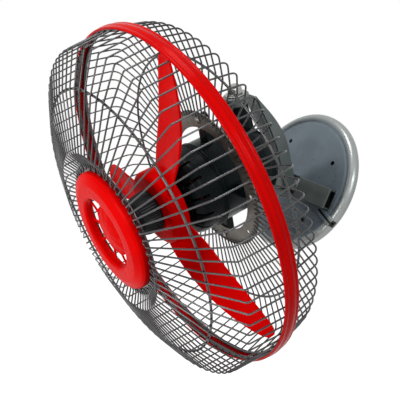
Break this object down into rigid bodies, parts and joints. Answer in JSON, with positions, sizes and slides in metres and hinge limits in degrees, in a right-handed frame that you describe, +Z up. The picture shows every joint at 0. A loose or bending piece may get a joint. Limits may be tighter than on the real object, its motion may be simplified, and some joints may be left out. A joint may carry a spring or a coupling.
{
  "type": "wall mounted fan",
  "caption": "Caged wall fan: round wall plate, arm that tilts down, head that turns under the arm, wire guard with a red band and dished badge, and a red bladed impeller on the motor's shaft.",
  "frame": {"origin": "centre of the wall plate's back face, on the wall", "axes": "+Y into the wall, +Z up, +X to the right seen from the room"},
  "size_m": [0.43, 0.3614, 0.361],
  "materials": {
    "plate_grey": "satin blue-grey paint",
    "zinc_steel": "zinc plated",
    "hammer_grey": "satin grey-green paint",
    "black_paint": "semi-gloss black paint",
    "lamination": "bare electrical steel",
    "copper": "varnished copper wire",
    "dark_wire": "dark plated wire",
    "warm_grey_steel": "bare pressed steel",
    "red_band": "glossy red paint",
    "red_plastic": "glossy red plastic",
    "black_plastic": "fluted black plastic",
    "nylon": "moulded nylon",
    "black_rubber": "soft black rubber"
  },
  "bodies": {
    "wall_base": {"base_plate": "zinc_steel", "wall_cover": "plate_grey", "cord_inlet_grommet": "black_rubber", "tilt_bracket": "hammer_grey", "tilt_bolt": "zinc_steel", "tilt_nut": "zinc_steel", "tilt_washer_left": "nylon", "tilt_washer_right": "nylon"},
    "tilt_arm": {"arm": "hammer_grey", "pivot_bushing": "nylon", "swivel_lock_screw": "black_paint"},
    "fan_head": {"pivot_stud": "zinc_steel", "pivot_washer": "zinc_steel", "pivot_nut": "zinc_steel", "motor_front_bell": "black_paint", "motor_rear_shell": "black_paint", "stator_core": "lamination", "winding_front": "copper", "winding_rear": "copper", "run_capacitor": "nylon", "bearing_front": "zinc_steel", "bearing_rear": "zinc_steel", "guard_ring": "red_band", "ring_screw": "zinc_steel", "ring_nut": "zinc_steel", "front_guard": "dark_wire", "front_cross_hoop": "dark_wire", "rear_guard": "dark_wire", "rear_cross_hoop": "dark_wire", "guard_disc": "warm_grey_steel", "disc_screw_1": "zinc_steel", "disc_screw_2": "zinc_steel", "disc_screw_3": "zinc_steel", "disc_screw_4": "zinc_steel", "badge": "red_plastic", "nose_ring": "dark_wire", "badge_screw_1": "zinc_steel", "badge_screw_2": "zinc_steel", "badge_screw_3": "zinc_steel"},
    "rotor": {"motor_shaft": "zinc_steel", "rotor_core": "lamination", "drive_pin": "zinc_steel", "impeller": "red_plastic", "spinner_knob": "black_plastic"}
  },
  "joints": [
    {"name": "head_tilt", "type": "hinge", "parent": "wall_base", "child": "tilt_arm", "pos_m": [0, -0.0112, -0.008], "axis": [1, 0, 0], "range_deg": [-43, 0]},
    {"name": "head_swivel", "type": "hinge", "parent": "tilt_arm", "child": "fan_head", "pos_m": [0, -0.09983, -0.00137], "axis": [0, -0.682, 0.7314], "range_deg": [-20, 20]},
    {"name": "impeller_spin", "type": "hinge", "parent": "fan_head", "child": "rotor", "pos_m": [0, -0.19125, -0.08662], "axis": [0, 0.7314, 0.682], "continuous": true}
  ]
}
